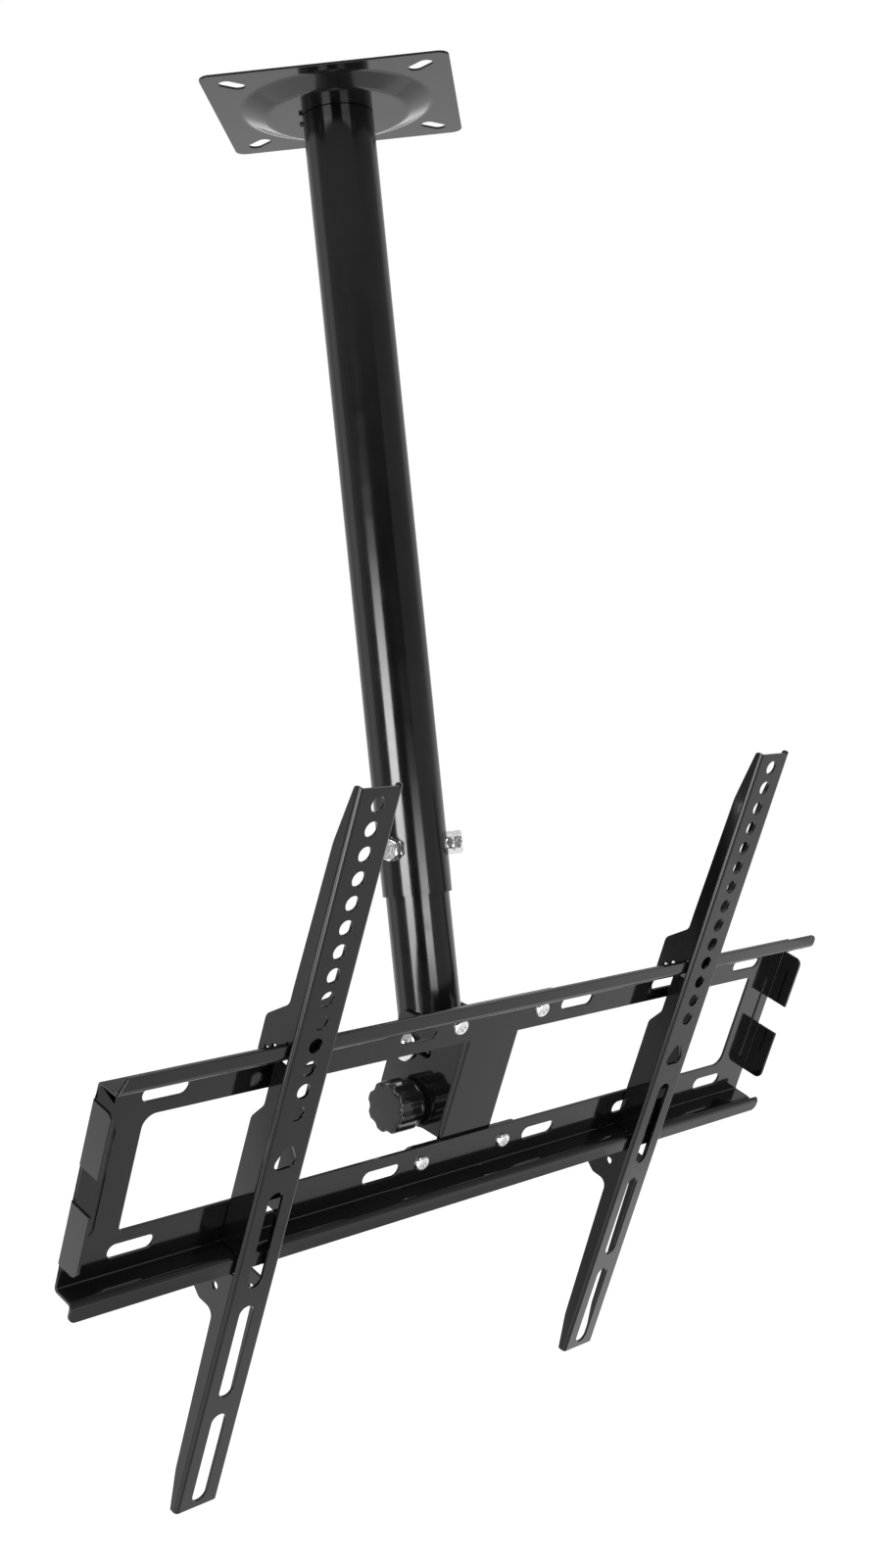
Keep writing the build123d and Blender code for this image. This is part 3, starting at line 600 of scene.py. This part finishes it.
pan_tree, given = part_tree("pan_screw", ("Radius", "Head", "Thread", "Length", "Recess"))
swing = calc(pan_tree, "MULTIPLY", risen(pan_tree, given["Head"]), math.pi / 2)
bulge = calc(pan_tree, "MAXIMUM", calc(pan_tree, "COSINE", swing), 0.0)
bulge = calc(pan_tree, "POWER", bulge, PAN_FULLNESS)
girth = calc(pan_tree, "MULTIPLY_ADD", bulge, 0.5, 0.5)
girth = calc(pan_tree, "MULTIPLY", given["Radius"], girth)
crown = calc(pan_tree, "MULTIPLY", given["Head"], calc(pan_tree, "SINE", swing))
head = bar(pan_tree, PAN_SIDES, PAN_RINGS, given["Head"])
head = wrapped(pan_tree, head, girth, point_turn(pan_tree), crown)
carve = pan_tree.nodes.new("GeometryNodeMeshBoolean")
carve.operation = "DIFFERENCE"
pan_tree.links.new(head, carve.inputs["Mesh 1"])
thin = calc(pan_tree, "MULTIPLY", given["Recess"], CROSS_WIDTH)
raised = pan_tree.nodes.new("ShaderNodeCombineXYZ")
pan_tree.links.new(given["Head"], raised.inputs["Z"])
for long_axis, thin_axis in (("X", "Y"), ("Y", "X")):
    size = pan_tree.nodes.new("ShaderNodeCombineXYZ")
    pan_tree.links.new(given["Recess"], size.inputs[long_axis])
    pan_tree.links.new(thin, size.inputs[thin_axis])
    pan_tree.links.new(given["Head"], size.inputs["Z"])
    wing = pan_tree.nodes.new("GeometryNodeMeshCube")
    pan_tree.links.new(size.outputs["Vector"], wing.inputs["Size"])
    lift = pan_tree.nodes.new("GeometryNodeTransform")
    pan_tree.links.new(wing.outputs["Mesh"], lift.inputs["Geometry"])
    pan_tree.links.new(raised.outputs["Vector"], lift.inputs["Translation"])
    pan_tree.links.new(lift.outputs["Geometry"], carve.inputs["Mesh 2"])
shank = bar(pan_tree, SHANK_SIDES, 1, given["Length"])
level = hung(pan_tree, given["Length"])
shank = wrapped(pan_tree, shank, given["Thread"], point_turn(pan_tree), level)
set_at_places(pan_tree, given, joined(pan_tree, carve.outputs["Mesh"], shank))

BOLT_SIDES = (-0.0370, 0.0370)
BOLT_HEIGHTS = (0.0752, -0.0232)
RAIL_FRONT = -0.0324
BRACKET_BACK = -0.0279


def on_bolts(y, way):
    """The four bolts' places at that depth in the head's frame."""
    return [(on_head(x, y, z), way, HEAD_UP) for x in BOLT_SIDES for z in BOLT_HEIGHTS]


fasteners("frame_bolts", "head", pan_tree,
          {"Radius": 0.0055, "Head": 0.0024, "Thread": 0.004, "Length": 0.0135, "Recess": 0.005},
          on_bolts(RAIL_FRONT, -HEAD_BACK))
fasteners("frame_nuts", "head", ring_tree, M8_NUT, on_bolts(BRACKET_BACK, HEAD_BACK))

# Screen arms
# Folded channels in black, with rows of holes and slots for the screen's bolts. Their flanges
# hook over the rails' lips, and they slide along the rails.

arm_coat = powder_coat(
    "arm_coat", dark=(0.008, 0.0078, 0.0078), light=(0.012, 0.0117, 0.0117),
    roughness=(0.07, 0.1), peel=0.000003, index=1.46)
eased_sheet("left_arm", "arm_left", "arm_coat", arm_coat, FOLDED_EASE)
eased_sheet("right_arm", "arm_right", "arm_coat", arm_coat, FOLDED_EASE)

# Studio
# A pale floor well under the hanging mount, white surroundings and a soft key from above. The
# cards, screens and strips round it are glowing sheets, no lamps, seen only in the mount's gloss:
# they paint its reflections and highlights.

LENS = 44.427
SHIFT = (-0.07246, 0.04988)
CLIP = (0.05, 100)
EYE = Vector((-0.86359, -0.8997, -0.45338))
RIGHT = Vector((0.66647318, -0.73884751, -0.09958839))
DOWN = Vector((-0.09031171, 0.0525856, -0.99452428))
AHEAD = Vector((0.74003871, 0.67181776, -0.03167969))

camera = bpy.data.cameras.new("camera")
camera.lens = LENS
camera.shift_x, camera.shift_y = SHIFT
camera.clip_start, camera.clip_end = CLIP
camera_object = put("camera", camera)
axes = Matrix((RIGHT, -DOWN, -AHEAD)).transposed().to_4x4()
camera_object.matrix_world = Matrix.Translation(EYE) @ axes
bpy.context.scene.camera = camera_object


def rectangle(across, along, z):
    """Corners of a level rectangle and its face."""
    (left, right), (near, far) = across, along
    return [(left, near, z), (right, near, z), (right, far, z), (left, far, z)], [(0, 1, 2, 3)]


def seen_directly(tree):
    """1 for rays from the camera, a mirror or a glass, 0 for the rest."""
    path = tree.nodes.new("ShaderNodeLightPath").outputs
    mirrored = calc(tree, "MAXIMUM", path["Is Glossy Ray"], path["Is Transmission Ray"])
    return calc(tree, "MAXIMUM", path["Is Camera Ray"], mirrored)


FLOOR_Z = -1.9
FLOOR_SPAN = (-30.0, 30.0)
FLOOR_TONE = (0.85, 0.85, 0.85, 1)
FLOOR_GLOW = 0.75

floor_mesh = bpy.data.meshes.new("floor")
points, faces = rectangle(FLOOR_SPAN, FLOOR_SPAN, FLOOR_Z)
floor_mesh.from_pydata(points, [], faces)
floor = put("floor", floor_mesh)
floor_paint = bpy.data.materials.new("pale_floor")
floor_paint.use_nodes = True
tree = floor_paint.node_tree
tree.nodes.clear()
matt = tree.nodes.new("ShaderNodeBsdfDiffuse")
matt.inputs["Color"].default_value = FLOOR_TONE
glow = tree.nodes.new("ShaderNodeEmission")
lit = tree.nodes.new("ShaderNodeAddShader")
out = tree.nodes.new("ShaderNodeOutputMaterial")
strength = calc(tree, "MULTIPLY", seen_directly(tree), FLOOR_GLOW)
tree.links.new(strength, glow.inputs["Strength"])
tree.links.new(matt.outputs["BSDF"], lit.inputs[0])
tree.links.new(glow.outputs["Emission"], lit.inputs[1])
tree.links.new(lit.outputs["Shader"], out.inputs["Surface"])
floor_mesh.materials.append(floor_paint)

AMBIENT = 0.5
world = bpy.data.worlds.new("studio")
world.use_nodes = True
bpy.context.scene.world = world
tree = world.node_tree
tree.nodes.clear()
ambient = tree.nodes.new("ShaderNodeBackground")
ambient.inputs["Strength"].default_value = AMBIENT
white = tree.nodes.new("ShaderNodeBackground")
white.inputs["Color"].default_value = (1, 1, 1, 1)
white.inputs["Strength"].default_value = 1.0
mix = tree.nodes.new("ShaderNodeMixShader")
out = tree.nodes.new("ShaderNodeOutputWorld")
tree.links.new(seen_directly(tree), mix.inputs["Fac"])
tree.links.new(ambient.outputs["Background"], mix.inputs[1])
tree.links.new(white.outputs["Background"], mix.inputs[2])
tree.links.new(mix.outputs["Shader"], out.inputs["Surface"])

KEY_PLACE = Vector((-1.2, -1.2, 1.9))
KEY_TARGET = Vector((0, 0, -0.45))
KEY_SIDE = 1.6
KEY_POWER = 40
lamp = bpy.data.lights.new("key", "AREA")
lamp.shape = "RECTANGLE"
lamp.size, lamp.size_y = KEY_SIDE, KEY_SIDE
lamp.energy = KEY_POWER
key = put("key", lamp)
key.location = KEY_PLACE
key.rotation_euler = (KEY_TARGET - KEY_PLACE).to_track_quat("-Z", "Y").to_euler()
key.visible_camera = False


# Painted reflections: each glow sheet is no lamp, and only the mount's gloss sees it.
def glow_sheet(name, points, faces, axis, glows):
    """A sheet that only the mount's gloss sees. Its glow drifts along an axis: (place, glow)."""
    mesh = bpy.data.meshes.new(name)
    mesh.from_pydata(points, [], faces)
    finish = bpy.data.materials.new(name)
    finish.use_nodes = True
    tree = finish.node_tree
    tree.nodes.clear()
    place = tree.nodes.new("ShaderNodeTexCoord")
    split = tree.nodes.new("ShaderNodeSeparateXYZ")
    along = tree.nodes.new("ShaderNodeMapRange")
    ramp = tree.nodes.new("ShaderNodeFloatCurve")
    path = tree.nodes.new("ShaderNodeLightPath")
    glow = tree.nodes.new("ShaderNodeEmission")
    out = tree.nodes.new("ShaderNodeOutputMaterial")
    start, end = glows[0][0], glows[-1][0]
    along.inputs["From Min"].default_value = start
    along.inputs["From Max"].default_value = end
    top = max(level for _, level in glows)
    curve = ramp.mapping.curves[0]
    while len(curve.points) < len(glows):
        curve.points.new(0.5, 0.5)
    for point, (stop, level) in zip(curve.points, glows):
        point.location = ((stop - start) / (end - start), level / top)
        point.handle_type = "VECTOR"
    ramp.mapping.update()
    first = calc(tree, "LESS_THAN", path.outputs["Diffuse Depth"], 0.5)
    strength = calc(tree, "MULTIPLY", calc(tree, "MULTIPLY", ramp.outputs["Value"], top), first)
    tree.links.new(place.outputs["Object"], split.inputs["Vector"])
    tree.links.new(split.outputs[axis], along.inputs["Value"])
    tree.links.new(along.outputs["Result"], ramp.inputs["Value"])
    tree.links.new(strength, glow.inputs["Strength"])
    tree.links.new(glow.outputs["Emission"], out.inputs["Surface"])
    mesh.materials.append(finish)
    sheet = put(name, mesh)
    sheet.visible_camera = False
    sheet.visible_diffuse = False
    sheet.visible_shadow = False
    sheet.visible_transmission = False


CARD_Z = FLOOR_Z + 0.01
CARD_STEP = 0.002


def card(name, across, along, layer, axis, glows):
    """A card just over the floor, a step higher where it lies on another one."""
    points, faces = rectangle(across, along, CARD_Z + layer * CARD_STEP)
    glow_sheet(name, points, faces, axis, glows)


EYE_TURN = math.degrees(math.atan2(EYE.y, EYE.x))
SCREEN_STEPS = 24


def screen(name, radius, turns, glows):
    """A curved screen round the mount, its ends given as turns from the lens."""
    first, last = turns
    shares = [(last - first) * k / SCREEN_STEPS for k in range(SCREEN_STEPS + 1)]
    bent = [math.radians(EYE_TURN - first - share) for share in shares]
    ring = [(radius * math.cos(a), radius * math.sin(a)) for a in bent]
    points = [(x, y, z) for x, y in ring for z in (glows[0][0], glows[-1][0])]
    faces = [(2 * k, 2 * k + 1, 2 * k + 3, 2 * k + 2) for k in range(SCREEN_STEPS)]
    glow_sheet(name, points, faces, "Z", glows)


# Glowing cards over the floor that the front faces mirror, seen only in gloss: painted
# reflections on the rails, arms' webs and lips, and a painted highlight along the arms' folds.
card("floor_card", (-0.5, 2.2), (-1.9, 0.6), 0, "X",
     ((-0.5, 0.6), (0.6, 0.7), (1.5, 0.85), (2.2, 1.2)))
card("left_arm_card", (0.3, 0.8), (-0.42, -0.05), 1, "Y",
     ((-0.42, 0.7), (-0.28, 1.0), (-0.05, 1.05)))
card("right_arm_card", (1.1, 1.75), (-0.41, -0.05), 1, "Y",
     ((-0.41, 0.95), (-0.3, 1.7), (-0.05, 1.7)))
card("left_lip_card", (0.38, 0.69), (-0.425, -0.35), 2, "X",
     ((0.38, 0.6), (0.69, 0.55)))
card("middle_lip_card", (0.82, 1.5), (-0.425, -0.35), 2, "X",
     ((0.82, 0.55), (1.2, 0.5), (1.5, 0.65)))
card("front_card", (-2.1, -0.9), (-2.1, -0.85), 0, "X",
     ((-2.1, 7.0), (-0.9, 7.0)))

# Glowing screens for walls, seen only in gloss: a painted dark reflection towards the lens, as
# the pole shows it, and paler painted reflections to the sides and behind. The bright band at the
# foot of the dark ones paints highlights on the folds.
WALL_R = 2.3
WALL_FOOT, WALL_TOP = -1.8, 4.0
screen("dark_screen", WALL_R, (-42, 50),
       ((WALL_FOOT, 4.0), (-1.25, 4.0), (-1.05, 0.03), (0.2, 0.03), (0.6, 0.4), (WALL_TOP, 0.45)))
screen("half_screen", WALL_R, (50, 68),
       ((WALL_FOOT, 4.0), (-1.25, 4.0), (-1.05, 0.25), (0.2, 0.25), (0.6, 0.4), (WALL_TOP, 0.45)))
screen("side_screen", WALL_R, (-115, -42),
       ((WALL_FOOT, 1.0), (-1.2, 1.0), (-1.0, 0.5), (-0.4, 0.5), (-0.1, 0.33), (WALL_TOP, 0.33)))
screen("back_screen", WALL_R, (130, 245),
       ((WALL_FOOT, 0.87), (-0.5, 0.87), (-0.3, 0.6), (WALL_TOP, 0.6)))
screen("right_arm_screen", WALL_R, (68, 87),
       ((WALL_FOOT, 0.6), (-1.1, 0.6), (-0.75, 0.2), (-0.6, 0.4), (WALL_TOP, 0.4)))
screen("left_arm_screen", WALL_R, (87, 93),
       ((WALL_FOOT, 0.4), (-1.1, 0.55), (-0.7, 1.0), (WALL_TOP, 0.8)))
screen("tab_screen", WALL_R, (93, 108),
       ((WALL_FOOT, 0.9), (-1.1, 1.3), (-0.7, 1.0), (WALL_TOP, 0.5)))
screen("far_screen", WALL_R, (108, 130),
       ((WALL_FOOT, 0.6), (-1.1, 0.6), (-0.7, 0.6), (WALL_TOP, 0.5)))

# In front of them, glowing sheets that are no lamps: a pale patch that paints the highlight on
# the dish's rim, and two strips that paint the highlight streaks on the pole.
RIM_R = 2.2
STRIP_R = 2.0
screen("rim_screen", RIM_R, (163, 197),
       ((-0.45, 0.85), (-0.15, 1.4), (0.3, 1.4), (0.7, 0.6)))
screen("left_strip", STRIP_R, (20, 46.5),
       ((-0.9, 0.0), (-0.7, 9.0), (-0.56, 13.0), (-0.42, 17.0), (-0.3, 17.0), (0.0, 0.0)))
screen("right_strip", STRIP_R, (-39, -13),
       ((-0.77, 0.0), (-0.735, 2.0), (-0.68, 12.0), (-0.64, 12.0), (-0.42, 0.0)))

bpy.context.scene.view_settings.view_transform = "Standard"
